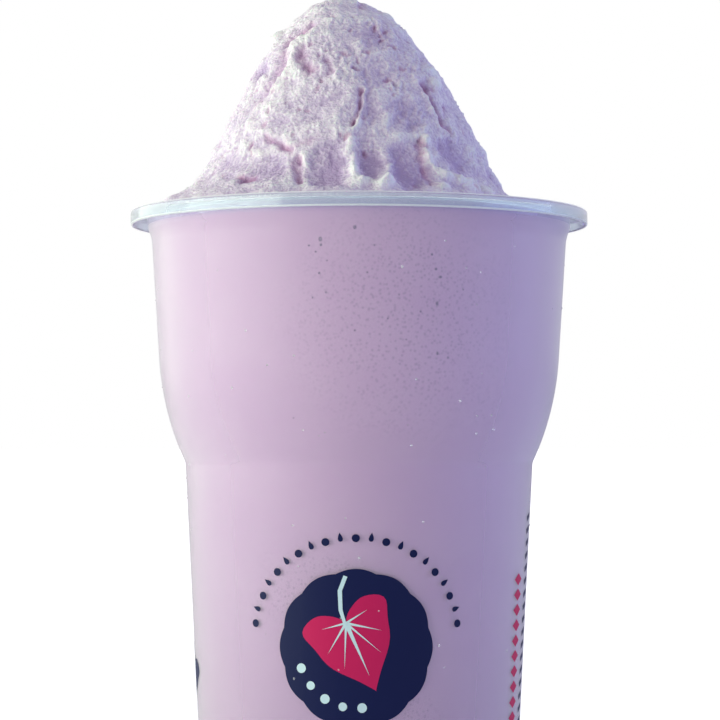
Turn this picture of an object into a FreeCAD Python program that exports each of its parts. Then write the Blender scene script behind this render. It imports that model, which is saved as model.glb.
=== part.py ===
"""Taro slush in a clear injection-moulded cup, as a parametric FreeCAD document.

Millimetres, +Z up, origin on the table at the centre of the cup's foot.
Two pieces: the cup, and the slush that fills it and stands in a spooned heap above its rim.
Every size is a cell of the sheet "Sizes"; the sketches and solids below are bound to those cells.
"""
import FreeCAD
import Part
import math
import os

from FreeCAD import Placement, Rotation, Vector

# name, value in millimetres or degrees, what it is
SIZES = [
    # the cup's rim
    ("rim_radius", 47.5, "outside of the rim: a 95 mm mouth, the common sealing size"),
    ("cup_height", 127.0, "table to the top of the rim"),
    ("flange_width", 3.6, "from the collar's outside to the rim's outside"),
    ("flange_thickness", 0.9, "of the flat ring on top"),
    ("skirt_drop", 2.9, "height of the turned-down edge of the rim"),
    ("skirt_wall", 0.7, "thickness of that edge"),
    ("rim_round", 0.6, "fillet on the rim's outer top edge"),
    # the collar that a lid plugs into, just under the rim
    ("collar_depth", 3.6, "rim top down to the end of the collar"),
    ("collar_step", 0.8, "how far the collar stands outside the wall below it"),
    ("collar_blend", 1.8, "height over which the wall comes in under the collar"),
    # the wide upper wall, the shoulder and the narrower body
    ("wall", 0.8, "wall thickness, measured level"),
    ("upper_draft", 3.6, "taper of the upper wall, degrees from upright"),
    ("shoulder_depth", 30.5, "rim top down to where the shoulder starts to curve in"),
    ("waist_depth", 52.0, "rim top down to the crease under the shoulder"),
    ("waist_step", 5.5, "how far the shoulder brings the wall in"),
    ("lower_draft", 2.93, "taper of the body below the crease, degrees"),
    ("crease_round", 0.9, "fillet in the crease"),
    # the base
    ("foot_height", 2.4, "the base plate stands this far off the table"),
    ("floor_thickness", 1.0, "of the base plate"),
    ("foot_wall", 1.3, "thickness of the ring the cup stands on"),
    ("base_round", 1.0, "fillet between the inside wall and the floor"),
    ("foot_round", 0.35, "fillet on the foot ring's edges"),
    ("gate_radius", 1.8, "moulding gate mark under the base"),
    ("gate_drop", 0.6, "how far the gate mark stands down"),
    # the slush
    ("fill_gap", 0.8, "level of the slush at the wall, below the rim top"),
    ("heap_height", 45.4, "top of the heap above the rim top"),
    ("heap_radius", 33.2, "half width of the heap above its spreading foot"),
    ("heap_power", 0.53, "how the heap narrows: 0.5 is round, 1 is a cone"),
    ("heap_lean", 3.6, "the heap's tip stands this far to the left, -X"),
    ("foot_spread", 11.0, "extra spread of the heap's foot, more to the left than to the right"),
    ("spread_height", 2.6, "height over which that spread dies away"),
    ("heap_margin", 0.5, "the spread foot stops this far inside the collar"),
    ("lobe_depth", 1.0, "how uneven the heap's outline is, plus or minus"),
    ("spoon_radius", 14.0, "radius of the spooned hollows in the lowest row"),
    ("spoon_bite", 1.5, "depth of those hollows"),
    ("fold_radius", 1.3, "radius of the folds, where a spoonful was laid over the last"),
    ("lump_radius", 9.0, "radius of the soft lumps"),
    ("lump_proud", 1.1, "how far a lump stands out of the heap"),
]

# Levels of the heap's outlines as shares of its height, closer together where it curves most.
HEAP_LEVELS = [0.0, 0.02, 0.05, 0.09, 0.15, 0.25, 0.4, 0.55, 0.7, 0.83, 0.92, 0.975, 0.994]
POINTS_ROUND = 18

# Rows of spooned hollows: share of the height, how many, bearing of the first one,
# then radius and bite against those of the lowest row.
SPOON_ROWS = [
    (0.165, 17, -121.0, 1.0, 1.0),
    (0.42, 9, -112.0, 1.6, 0.9),
    (0.68, 6, -75.0, 1.3, 0.8),
    (0.9, 3, -30.0, 0.8, 0.5),
]

# Folds in the heap, each through three places of (share of the height, bearing).
FOLDS = [
    [(0.80, -128), (0.69, -138), (0.58, -146)],
    [(0.71, -121), (0.64, -121), (0.58, -113)],
    [(0.51, -84), (0.42, -84), (0.34, -88)],
    [(0.52, -50), (0.41, -46), (0.30, -41)],
    [(0.72, 62), (0.55, 78), (0.42, 98)],
    [(0.48, 172), (0.38, 160), (0.27, 152)],
]

# Soft lumps at (share of the height, bearing).
LUMPS = [(0.08, -46), (0.05, -84), (0.58, -26), (0.76, -168), (0.3, -160), (0.14, 38), (0.5, 112)]
UP = Vector(0, 0, 1)

doc = FreeCAD.newDocument("taro_slush")


def fill_sheet():
    """The driving sizes, one row each: name, value, meaning. The value's cell has the name as its alias."""
    sheet = doc.addObject("Spreadsheet::Sheet", "Sizes")
    for row, (name, value, meaning) in enumerate(SIZES, start=1):
        sheet.set(f"A{row}", name)
        sheet.set(f"B{row}", str(value))
        sheet.setAlias(f"B{row}", name)
        sheet.set(f"C{row}", meaning)
    doc.recompute()
    return sheet


SHEET = fill_sheet()


def size(name):
    return float(SHEET.get(name))


# Radii and heights that several sketches share, written as expressions of the sheet's cells.
RIM_TOP = "Sizes.cup_height"
COLLAR_RADIUS = "(Sizes.rim_radius - Sizes.flange_width)"
NECK_RADIUS = f"({COLLAR_RADIUS} - Sizes.collar_step)"
NECK_HEIGHT = "(Sizes.cup_height - Sizes.collar_depth - Sizes.collar_blend)"
SHOULDER_HEIGHT = "(Sizes.cup_height - Sizes.shoulder_depth)"
SHOULDER_RADIUS = (
    f"({NECK_RADIUS} - ({NECK_HEIGHT} - {SHOULDER_HEIGHT}) * tan(Sizes.upper_draft * 1deg))"
)
WAIST_HEIGHT = "(Sizes.cup_height - Sizes.waist_depth)"
WAIST_RADIUS = f"({SHOULDER_RADIUS} - Sizes.waist_step)"
FLOOR_TOP = "(Sizes.foot_height + Sizes.floor_thickness)"


def body_radius(height):
    """Outside radius of the tapered body at a height below the crease, as an expression."""
    return f"({WAIST_RADIUS} - ({WAIST_HEIGHT} - {height}) * tan(Sizes.lower_draft * 1deg))"


def worth(expression):
    """What an expression of the sheet's cells comes to now."""
    found = SHEET.evalExpression(expression)
    return float(getattr(found, "Value", found))


def new_body(name):
    body = doc.addObject("PartDesign::Body", name)
    body.Label = name
    return body


def upright_sketch(body, name):
    """A sketch on the body's own XZ plane: its X is the radius and its Y is the height."""
    sketch = body.newObject("Sketcher::SketchObject", name)
    plane = next(f for f in body.Origin.OriginFeatures if f.Role == "XZ_Plane")
    sketch.AttachmentSupport = [(plane, "")]
    sketch.MapMode = "FlatFace"
    return sketch


def bind(sketch, constraint, expression):
    index = sketch.addConstraint(constraint)
    sketch.setExpression(f"Constraints[{index}]", expression)


def draw_outline(sketch, corners, arc_from=None):
    """A closed outline of straight edges between corners, each (radius, height) in expressions.

    A radius of None puts the corner on the axis. The edge that starts at corner number arc_from
    is an arc instead, tangent to the edge before it.
    """
    import Sketcher

    spots = [Vector(0 if r is None else worth(r), worth(z), 0) for r, z in corners]
    count = len(corners)
    for i in range(count):
        start, end = spots[i], spots[(i + 1) % count]
        if i == arc_from:
            along = (start - spots[i - 1]).normalize()
            chord = end - start
            inward = Vector(-along.y, along.x, 0)
            if inward.dot(chord) < 0:
                inward = -inward
            radius = chord.dot(chord) / (2 * chord.dot(inward))
            centre = start + inward * radius
            middle = (start + end) * 0.5 - centre
            middle = centre + middle.normalize() * radius
            sketch.addGeometry(Part.Arc(start, middle, end), False)
        else:
            sketch.addGeometry(Part.LineSegment(start, end), False)
    # an arc may be stored running the other way round, so its ends are found by place
    ends = [edge_ends(sketch, i, spots[i]) for i in range(count)]
    for i in range(count):
        after = (i + 1) % count
        joint = Sketcher.Constraint("Coincident", i, ends[i][1], after, ends[after][0])
        if i + 1 == arc_from:
            joint = Sketcher.Constraint("Tangent", i, ends[i][1], after, ends[after][0])
        sketch.addConstraint(joint)
    for i, (radius, height) in enumerate(corners):
        place = spots[i]
        if radius is None:
            sketch.addConstraint(Sketcher.Constraint("PointOnObject", i, ends[i][0], -2))
        else:
            bind(sketch, Sketcher.Constraint("DistanceX", -1, 1, i, ends[i][0], place.x), radius)
        if abs(place.y) < 1e-9:
            sketch.addConstraint(Sketcher.Constraint("PointOnObject", i, ends[i][0], -1))
        else:
            bind(sketch, Sketcher.Constraint("DistanceY", -1, 1, i, ends[i][0], place.y), height)


def edge_ends(sketch, number, start):
    """The two point numbers of a sketch edge, the one at the given start first."""
    first = sketch.getPoint(number, 1)
    return (1, 2) if first.distanceToPoint(start) < 1e-6 else (2, 1)


def revolve(body, sketch, kind="PartDesign::Revolution"):
    """Turns a sketch once round the cup's axis, adding to the body or, as a Groove, cutting it."""
    feature = body.newObject(kind, sketch.Name + "_turned")
    feature.Profile = sketch
    feature.ReferenceAxis = (sketch, ["V_Axis"])
    feature.Angle = 360
    doc.recompute()
    return feature


def ring_edges(shape, rings):
    """Names of the circular edges that lie at the given (radius, height) expressions."""
    names = []
    for radius, height in rings:
        r, z = worth(radius), worth(height)
        for number, edge in enumerate(shape.Edges, start=1):
            curve = edge.Curve
            if isinstance(curve, Part.Circle) and math.hypot(curve.Radius - r, curve.Center.z - z) < 0.02:
                names.append(f"Edge{number}")
    return names


def round_rings(body, rings, radius):
    """A fillet on the body's circular edges at (radius, height)."""
    base = body.Tip
    feature = body.newObject("PartDesign::Fillet", "Round")
    feature.Base = (base, ring_edges(base.Shape, rings))
    feature.setExpression("Radius", radius)
    body.Tip = feature
    doc.recompute()
    return feature


def wall_corners(inset, bottom, top):
    """The cup's side, brought in by inset: corners from the bottom centre up to the top centre.

    Corner 4 is the top of the shoulder, where the arc starts on the way down.
    """
    return [
        (None, top),
        (f"{COLLAR_RADIUS} - {inset}", top),
        (f"{COLLAR_RADIUS} - {inset}", "Sizes.cup_height - Sizes.collar_depth"),
        (f"{NECK_RADIUS} - {inset}", NECK_HEIGHT),
        (f"{SHOULDER_RADIUS} - {inset}", SHOULDER_HEIGHT),
        (f"{WAIST_RADIUS} - {inset}", WAIST_HEIGHT),
        (f"{body_radius(bottom)} - {inset}", bottom),
        (None, bottom),
    ]


SHOULDER_CORNER = 4


def build_cup():
    """Wall, collar, shoulder, base plate, foot ring and turned-down rim, all turned about the axis."""
    body = new_body("cup")
    outside = upright_sketch(body, "outside")
    draw_outline(outside, wall_corners("0", "Sizes.foot_height", RIM_TOP), SHOULDER_CORNER)
    revolve(body, outside)

    inside = upright_sketch(body, "inside")
    draw_outline(inside, wall_corners("Sizes.wall", FLOOR_TOP, f"{RIM_TOP} + 1"), SHOULDER_CORNER)
    revolve(body, inside, "PartDesign::Groove")

    rim = upright_sketch(body, "rim")
    under_flange = f"{RIM_TOP} - Sizes.flange_thickness"
    skirt_foot = f"{RIM_TOP} - Sizes.skirt_drop"
    skirt_inside = "Sizes.rim_radius - Sizes.skirt_wall"
    wall_middle = f"{COLLAR_RADIUS} - Sizes.wall / 2"
    draw_outline(rim, [
        (wall_middle, RIM_TOP),
        ("Sizes.rim_radius", RIM_TOP),
        ("Sizes.rim_radius", skirt_foot),
        (skirt_inside, skirt_foot),
        (skirt_inside, under_flange),
        (wall_middle, under_flange),
    ])
    revolve(body, rim)

    foot = upright_sketch(body, "foot")
    foot_inside = f"{body_radius('0')} - Sizes.foot_wall"
    draw_outline(foot, [
        (body_radius("0"), "0"),
        (body_radius(FLOOR_TOP), FLOOR_TOP),
        (f"{body_radius(FLOOR_TOP)} - Sizes.wall / 2", FLOOR_TOP),
        (foot_inside, "Sizes.foot_height + Sizes.floor_thickness / 2"),
        (foot_inside, "0"),
    ])
    revolve(body, foot)

    gate = upright_sketch(body, "gate")
    draw_outline(gate, [
        (None, "Sizes.foot_height + Sizes.floor_thickness / 2"),
        ("Sizes.gate_radius", "Sizes.foot_height + Sizes.floor_thickness / 2"),
        ("Sizes.gate_radius", "Sizes.foot_height"),
        ("Sizes.gate_radius / 2", "Sizes.foot_height - Sizes.gate_drop"),
        (None, "Sizes.foot_height - Sizes.gate_drop"),
    ])
    revolve(body, gate)

    crease = [(WAIST_RADIUS, WAIST_HEIGHT), (f"{WAIST_RADIUS} - Sizes.wall", WAIST_HEIGHT)]
    round_rings(body, crease, "Sizes.crease_round")
    floor_corner = [(f"{body_radius(FLOOR_TOP)} - Sizes.wall", FLOOR_TOP)]
    round_rings(body, floor_corner, "Sizes.base_round")
    round_rings(body, [("Sizes.rim_radius", RIM_TOP)], "Sizes.rim_round")
    round_rings(body, [(body_radius("0"), "0")], "Sizes.foot_round")
    return body


def build_fill():
    """The slush inside the cup: the cup's own cavity up to the level at the wall."""
    body = new_body("fill")
    level = f"{RIM_TOP} - Sizes.fill_gap"
    cavity = upright_sketch(body, "cavity")
    draw_outline(cavity, wall_corners("Sizes.wall", FLOOR_TOP, level), SHOULDER_CORNER)
    revolve(body, cavity)
    round_rings(body, [(f"{WAIST_RADIUS} - Sizes.wall", WAIST_HEIGHT)], "Sizes.crease_round")
    round_rings(body, [(f"{body_radius(FLOOR_TOP)} - Sizes.wall", FLOOR_TOP)], "Sizes.base_round")
    return body


def heap_half_width(share, bearing):
    """Half width of the heap: blunt at the top, spreading out at the foot."""
    height = (size("heap_height") + size("fill_gap")) * share
    narrowing = (1 - share) ** size("heap_power")
    leftward = 1 - 0.55 * math.cos(bearing)
    spread = size("foot_spread") * leftward * math.exp(-height / size("spread_height"))
    return size("heap_radius") * narrowing + spread


def heap_point(share, bearing):
    """A point of the heap's skin, by share of its height and bearing in radians from +X."""
    swell = (
        0.55 * math.sin(2 * bearing + 0.8 + 2.0 * share)
        + 0.35 * math.sin(3 * bearing - 1.1 + 4.0 * share)
        + 0.25 * math.sin(5 * bearing + 2.0 - 3.0 * share)
    )
    radius = heap_half_width(share, bearing) + size("lobe_depth") * swell * (1 - share)
    lean = -size("heap_lean") * (0.45 + 0.55 * share)
    level = size("cup_height") - size("fill_gap")
    height = (size("heap_height") + size("fill_gap")) * share
    return Vector(lean + radius * math.cos(bearing), radius * math.sin(bearing), level + height)


def heap_normal(share, bearing):
    """Outward direction of the heap's skin, from the slopes of heap_point."""
    step = 1e-3
    across = heap_point(share, bearing + step) - heap_point(share, bearing - step)
    up = heap_point(share + step, bearing) - heap_point(share - step, bearing)
    return across.cross(up).normalize()


def heap_section(share):
    """One level outline of the heap, a closed smooth curve."""
    turns = [2 * math.pi * i / POINTS_ROUND for i in range(POINTS_ROUND)]
    curve = Part.BSplineCurve()
    curve.interpolate([heap_point(share, turn) for turn in turns], PeriodicFlag=True)
    return Part.Wire(curve.toShape())


def build_heap():
    """The heap before it is spooned: a loft through its level outlines, kept inside the collar."""
    loft = doc.addObject("Part::Feature", "heap_loft")
    loft.Shape = Part.makeLoft([heap_section(s) for s in HEAP_LEVELS], True, False)
    limit = doc.addObject("Part::Cylinder", "heap_limit")
    limit.setExpression("Radius", f"{COLLAR_RADIUS} - Sizes.wall - Sizes.heap_margin")
    limit.setExpression("Height", "Sizes.heap_height + Sizes.fill_gap + 1")
    limit.setExpression("Placement.Base.z", f"{RIM_TOP} - Sizes.fill_gap")
    heap = doc.addObject("Part::Common", "heap")
    heap.Base = loft
    heap.Tool = limit
    return heap, limit


def ball(name, centre, radius):
    """A whole sphere, turned so that its seam lies away from the heap's front."""
    feature = doc.addObject("Part::Sphere", name)
    feature.Radius = radius
    feature.Placement = Placement(centre, Rotation(UP, 17))
    return feature


def build_spoons():
    """The spooned hollows: balls that bite into the skin, each a little unlike its neighbours."""
    hollows = []
    for row, (share, count, first, wide, deep) in enumerate(SPOON_ROWS):
        for i in range(count):
            sway = math.sin(2.4 * i + row)
            bearing = math.radians(first + 360.0 / count * (i + 0.16 * sway))
            level = share + 0.03 * math.sin(1.7 * i + 2 * row)
            radius = size("spoon_radius") * wide * (1 + 0.12 * sway)
            bite = size("spoon_bite") * deep * (1 + 0.25 * math.cos(1.9 * i))
            out = heap_normal(level, bearing)
            centre = heap_point(level, bearing) + out * (radius - bite)
            hollows.append(ball(f"hollow_{row}_{i}", centre, radius))
    return hollows


def build_folds():
    """The folds: tubes run along the skin, lifting out of it at both ends so that the fold fades."""
    folds = []
    radius = size("fold_radius")
    for number, places in enumerate(FOLDS):
        middle = len(places) // 2
        path = []
        for i, (share, bearing) in enumerate(places):
            lift = 0.1 if i == middle else 1.05
            turn = math.radians(bearing)
            path.append(heap_point(share, turn) + heap_normal(share, turn) * radius * lift)
        curve = Part.BSplineCurve()
        curve.interpolate(path)
        spine = Part.Wire(curve.toShape())
        profile = Part.Wire(Part.makeCircle(radius, path[0], curve.tangent(0.0)[0]))
        fold = doc.addObject("Part::Feature", f"fold_{number}")
        fold.Shape = spine.makePipeShell([profile], True, True)
        folds.append(fold)
    return folds


def build_lumps(limit):
    """Soft lumps, sunk into the heap until only their crowns stand out."""
    lumps = []
    for i, (share, bearing) in enumerate(LUMPS):
        turn = math.radians(bearing)
        radius = size("lump_radius") * (1 + 0.2 * math.sin(2.2 * i))
        out = heap_normal(share, turn)
        whole = ball(f"whole_lump_{i}", heap_point(share, turn) - out * (radius - size("lump_proud")), radius)
        lump = doc.addObject("Part::Common", f"lump_{i}")
        lump.Base = whole
        lump.Tool = limit
        lumps.append(lump)
    return lumps


def build_slush(fill):
    """Fill and heap are one mass: the heap is spooned, folded and given its lumps, then joined on."""
    spooned = doc.addObject("Part::Cut", "spooned_heap")
    heap, limit = build_heap()
    spooned.Base = heap
    hollows = doc.addObject("Part::Compound", "hollows")
    hollows.Links = build_spoons() + build_folds()
    spooned.Tool = hollows
    slush = doc.addObject("Part::MultiFuse", "slush")
    slush.Shapes = [fill, spooned] + build_lumps(limit)
    slush.Label = "slush"
    doc.recompute()
    return slush


def check_and_write(pieces):
    """Stops on any failed object or bad solid, then writes one STEP file for each piece."""
    doc.recompute()
    for thing in doc.Objects:
        if "Invalid" in thing.State or "Error" in thing.State:
            raise RuntimeError(f"{thing.Label} did not build: {thing.State}")
    os.makedirs("parts", exist_ok=True)
    for piece in pieces:
        shape = piece.Shape
        if shape.isNull() or not shape.isValid():
            raise RuntimeError(f"{piece.Label} has no valid shape")
        shape.exportStep(os.path.join("parts", piece.Label + ".step"))
        box = shape.BoundBox
        print(
            f"{piece.Label}: {len(shape.Solids)} solid, {shape.Volume / 1000:.2f} ml, "
            f"{box.XLength:.1f} x {box.YLength:.1f} x {box.ZLength:.1f} mm, {len(shape.Faces)} faces"
        )


cup = build_cup()
slush = build_slush(build_fill())
check_and_write([cup, slush])
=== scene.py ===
# %% [markdown]
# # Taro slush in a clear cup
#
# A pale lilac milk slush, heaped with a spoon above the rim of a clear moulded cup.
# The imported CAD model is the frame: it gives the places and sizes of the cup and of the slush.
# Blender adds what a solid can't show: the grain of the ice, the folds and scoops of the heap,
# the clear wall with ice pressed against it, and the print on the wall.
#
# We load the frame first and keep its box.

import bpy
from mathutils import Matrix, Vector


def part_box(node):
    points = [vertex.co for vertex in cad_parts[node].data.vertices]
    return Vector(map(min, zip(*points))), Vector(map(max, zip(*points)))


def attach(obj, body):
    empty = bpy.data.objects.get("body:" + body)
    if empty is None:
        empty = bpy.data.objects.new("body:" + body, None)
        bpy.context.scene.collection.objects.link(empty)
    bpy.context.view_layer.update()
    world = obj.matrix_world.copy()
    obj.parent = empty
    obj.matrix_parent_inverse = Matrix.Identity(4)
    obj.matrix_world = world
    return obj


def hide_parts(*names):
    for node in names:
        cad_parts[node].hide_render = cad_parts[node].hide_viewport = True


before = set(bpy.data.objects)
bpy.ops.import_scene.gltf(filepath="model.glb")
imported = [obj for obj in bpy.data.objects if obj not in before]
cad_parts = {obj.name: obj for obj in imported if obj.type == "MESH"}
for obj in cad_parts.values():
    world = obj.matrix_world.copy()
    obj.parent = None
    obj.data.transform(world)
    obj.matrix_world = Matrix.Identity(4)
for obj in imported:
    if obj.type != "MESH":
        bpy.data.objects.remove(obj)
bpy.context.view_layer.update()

# %% [markdown]
# Sizes in this lesson are in millimetres and Blender works in metres, so MM turns one into the other.
# Random numbers and noise both get a fixed seed, and every run then makes the same cup. Without one,
# Blender's noise vectors take theirs from the clock.

# %% Blender's modules, the unit and the seeds
import math

import bmesh
import bpy
import numpy as np
from mathutils import Matrix, Vector, noise

MM = 0.001
SEED = 7
rng = np.random.default_rng(SEED)
noise.seed_set(SEED)

cup_low, cup_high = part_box("cup")
slush_low, slush_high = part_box("slush")
RIM_TOP = cup_high.z / MM
RIM_RADIUS = (cup_high.x - cup_low.x) / 2 / MM
HEAP_TOP = slush_high.z / MM
FLOOR_TOP = slush_low.z / MM
print(f"rim {RIM_RADIUS:.1f} mm at {RIM_TOP:.1f} mm, heap up to {HEAP_TOP:.1f} mm")

# %% [markdown]
# ## Two helpers for materials
#
# Colours are easier to read as hex codes, as a paint chart gives them, but shaders work in linear light.
# One function turns the one into the other. Another adds a node to a tree with its settings and its
# links in one line, so that a material reads like a recipe.

# %% Colour and node helpers
def linear(code):
    """An sRGB hex code as a linear colour with full alpha."""
    parts = [int(code[i:i + 2], 16) / 255 for i in (1, 3, 5)]
    return tuple(c / 12.92 if c <= 0.04045 else ((c + 0.055) / 1.055) ** 2.4 for c in parts) + (1.0,)


def add(tree, kind, settings=None, **inputs):
    """A new node. Settings are its properties; inputs are values or the output sockets they link to."""
    node = tree.nodes.new(kind)
    for name, value in (settings or {}).items():
        setattr(node, name, value)
    for name, value in inputs.items():
        key = int(name[1:]) if name[0] == "_" else name.replace("_", " ")
        if isinstance(value, bpy.types.NodeSocket):
            tree.links.new(value, node.inputs[key])
        else:
            node.inputs[key].default_value = value
    return node


def new_material(name):
    """An empty node material and its output node."""
    material = bpy.data.materials.new(name)
    material.use_nodes = True
    material.node_tree.nodes.clear()
    return material, material.node_tree, material.node_tree.nodes.new("ShaderNodeOutputMaterial")


def ramp(tree, fac, *stops):
    """A colour ramp with (place, hex code) stops, fed by fac."""
    node = add(tree, "ShaderNodeValToRGB", Fac=fac)
    bar = node.color_ramp
    while len(bar.elements) < len(stops):
        bar.elements.new(0.5)
    for element, (place, code) in zip(bar.elements, stops):
        element.position = place
        element.color = linear(code)
    return node.outputs["Color"]


# %% [markdown]
# ## The clear cup
#
# The cup is injection moulded from clear polypropylene: a flat rim with its edge turned down, a short
# collar for the lid, a wide upper wall, a shoulder that curves in to a crease, and a slimmer body.
# It could be the CAD solid itself, but light bends at every facet of a clear wall, so we turn a finer
# one. We draw half of the wall's cross-section as a closed loop of a few corners, spin it once
# round, and then bevel the moulded edges as the tool maker would.

# %% Sizes of the cup, in millimetres
WALL = 0.8
RIM_THICKNESS = 0.9
SKIRT_DROP = 2.9
SKIRT_WALL = 0.7
SKIRT_ROUND = 0.34
COLLAR_RADIUS = RIM_RADIUS - 3.6
NECK_RADIUS = COLLAR_RADIUS - 0.8
COLLAR_END = RIM_TOP - 3.6
NECK_TOP = COLLAR_END - 1.8
SHOULDER_TOP = RIM_TOP - 30.5
CREASE = RIM_TOP - 52.0
WAIST_STEP = 5.5
UPPER_DRAFT = math.radians(3.6)
LOWER_DRAFT = math.radians(2.93)
SHOULDER_RADIUS = NECK_RADIUS - (NECK_TOP - SHOULDER_TOP) * math.tan(UPPER_DRAFT)
CREASE_RADIUS = SHOULDER_RADIUS - WAIST_STEP
FOOT_HEIGHT = 2.4
FOOT_WALL = 1.3
GATE_RADIUS = 1.8
GATE_DEPTH = 0.6
SPIN_STEPS = 180


def body_radius(height):
    """Outside of the body below the crease."""
    return CREASE_RADIUS - (CREASE - height) * math.tan(LOWER_DRAFT)


print(f"crease radius {CREASE_RADIUS:.2f} mm, foot radius {body_radius(0):.2f} mm")

# %% A pen that draws a cross-section
def line_to(bm, start, radius, height):
    """Draws a straight edge from vert start to a new vert, and returns the new one."""
    end = bm.verts.new((radius * MM, 0, height * MM))
    if start is not None:
        bm.edges.new((start, end))
    return end


def shoulder_to(bm, start, radius, height, steps=14):
    """Draws the shoulder's arc, tangent to the upper wall, by spinning the vert about the arc's centre.

    It can be drawn from either end, downwards or upwards.
    """
    top = Vector((start.co.x, 0, start.co.z))
    end = Vector((radius * MM, 0, height * MM))
    down = Vector((-math.sin(UPPER_DRAFT), 0, -math.cos(UPPER_DRAFT)))
    if end.z > top.z:
        top, end = end, top
    inward = Vector((down.z, 0, -down.x))
    chord = end - top
    arc_radius = chord.length_squared / (2 * chord.dot(inward))
    centre = top + inward * arc_radius
    going, coming = start.co - centre, (end if start.co.z > end.z + 1e-9 else top) - centre
    turn = going.angle(coming) * (1 if going.cross(coming).y > 0 else -1)
    made = bmesh.ops.spin(bm, geom=[start], cent=centre, axis=(0, 1, 0), angle=turn, steps=steps)
    return made["geom_last"][0]


def side_down(bm, start, inset, bottom):
    """The cup's side from the rim down to bottom, brought in by inset, ending at the body's foot."""
    spot = line_to(bm, start, COLLAR_RADIUS - inset, COLLAR_END)
    spot = line_to(bm, spot, NECK_RADIUS - inset, NECK_TOP)
    spot = line_to(bm, spot, SHOULDER_RADIUS - inset, SHOULDER_TOP)
    spot = shoulder_to(bm, spot, CREASE_RADIUS - inset, CREASE)
    return line_to(bm, spot, body_radius(bottom) - inset, bottom)


def side_up(bm, start, inset, top):
    """The same side drawn from its foot up to the height top."""
    spot = line_to(bm, start, CREASE_RADIUS - inset, CREASE)
    spot = shoulder_to(bm, spot, SHOULDER_RADIUS - inset, SHOULDER_TOP)
    spot = line_to(bm, spot, NECK_RADIUS - inset, NECK_TOP)
    spot = line_to(bm, spot, COLLAR_RADIUS - inset, COLLAR_END)
    return line_to(bm, spot, COLLAR_RADIUS - inset, top)


# %% Tools to spin a profile, round its edges and finish a piece
# How near two verts lie to be one, and how near a circle a vert lies to be on it, in metres
SAME_VERT = 1e-7
SAME_HEIGHT = 2e-6
SAME_RADIUS = 2e-5


def spin_round(bm, steps):
    """Turns everything in bm once round the Z axis and closes it."""
    bmesh.ops.spin(
        bm, geom=bm.verts[:] + bm.edges[:], cent=(0, 0, 0), axis=(0, 0, 1),
        angle=2 * math.pi, steps=steps, use_merge=True,
    )
    bmesh.ops.remove_doubles(bm, verts=bm.verts, dist=SAME_VERT)
    bmesh.ops.recalc_face_normals(bm, faces=bm.faces)


def ring(bm, radius, height):
    """The edges of the circle at this radius and height."""
    def on_it(v):
        off_circle = abs(v.co.xy.length - radius * MM)
        return abs(v.co.z - height * MM) < SAME_HEIGHT and off_circle < SAME_RADIUS
    return [e for e in bm.edges if on_it(e.verts[0]) and on_it(e.verts[1])]


def round_ring(bm, radius, height, size, segments):
    """A fillet of this size on one circle of the turned shape."""
    edges = ring(bm, radius, height)
    if not edges:
        raise ValueError(f"no ring at radius {radius:.2f}, height {height:.2f}")
    bmesh.ops.bevel(
        bm, geom=edges, offset=size * MM, affect="EDGES", segments=segments, profile=0.5, material=-1,
    )


def finish_piece(bm, name, *materials):
    """Turns bm into a smooth-shaded object of the scene that rides on the one rigid body."""
    mesh = bpy.data.meshes.new(name)
    bm.to_mesh(mesh)
    bm.free()
    for polygon in mesh.polygons:
        polygon.use_smooth = True
    for material in materials:
        mesh.materials.append(material)
    piece = bpy.data.objects.new(name, mesh)
    bpy.context.scene.collection.objects.link(piece)
    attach(piece, "root")
    print(f"{name}: {sum(len(p.vertices) - 2 for p in mesh.polygons)} triangles")
    return piece


# %% Draw half of the wall and spin it
bm = bmesh.new()
first = line_to(bm, None, RIM_RADIUS, RIM_TOP)
spot = line_to(bm, first, RIM_RADIUS, RIM_TOP - SKIRT_DROP)
spot = line_to(bm, spot, RIM_RADIUS - SKIRT_WALL, RIM_TOP - SKIRT_DROP)
spot = line_to(bm, spot, RIM_RADIUS - SKIRT_WALL, RIM_TOP - RIM_THICKNESS)
spot = line_to(bm, spot, COLLAR_RADIUS, RIM_TOP - RIM_THICKNESS)
spot = side_down(bm, spot, 0, 0)
spot = line_to(bm, spot, body_radius(0) - FOOT_WALL, 0)
spot = line_to(bm, spot, body_radius(0) - FOOT_WALL, FOOT_HEIGHT)
spot = line_to(bm, spot, GATE_RADIUS, FOOT_HEIGHT)
spot = line_to(bm, spot, GATE_RADIUS / 2, FOOT_HEIGHT - GATE_DEPTH)
spot = line_to(bm, spot, 0, FOOT_HEIGHT - GATE_DEPTH)
spot = line_to(bm, None, 0, FLOOR_TOP)
spot = line_to(bm, spot, body_radius(FLOOR_TOP) - WALL, FLOOR_TOP)
spot = side_up(bm, spot, WALL, RIM_TOP)
bm.edges.new((spot, first))
spin_round(bm, SPIN_STEPS)
print(f"{len(bm.faces)} faces in the sharp-edged cup")

# %% Round the moulded edges
# radius and height of the edge, size of its fillet, steps across the fillet
fillets = [
    (RIM_RADIUS, RIM_TOP, 0.6, 5),
    (RIM_RADIUS, RIM_TOP - SKIRT_DROP, SKIRT_ROUND, 4),
    (RIM_RADIUS - SKIRT_WALL, RIM_TOP - SKIRT_DROP, SKIRT_ROUND, 4),
    (RIM_RADIUS - SKIRT_WALL, RIM_TOP - RIM_THICKNESS, 0.5, 3),
    (COLLAR_RADIUS, RIM_TOP - RIM_THICKNESS, 0.4, 3),
    (COLLAR_RADIUS - WALL, RIM_TOP, 0.3, 3),
    (COLLAR_RADIUS, COLLAR_END, 0.65, 4),
    (NECK_RADIUS, NECK_TOP, 1.2, 5),
    (CREASE_RADIUS, CREASE, 0.5, 4),
    (body_radius(0), 0, 0.35, 3),
    (body_radius(0) - FOOT_WALL, 0, 0.3, 3),
    (body_radius(FLOOR_TOP) - WALL, FLOOR_TOP, 1.0, 4),
]
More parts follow.
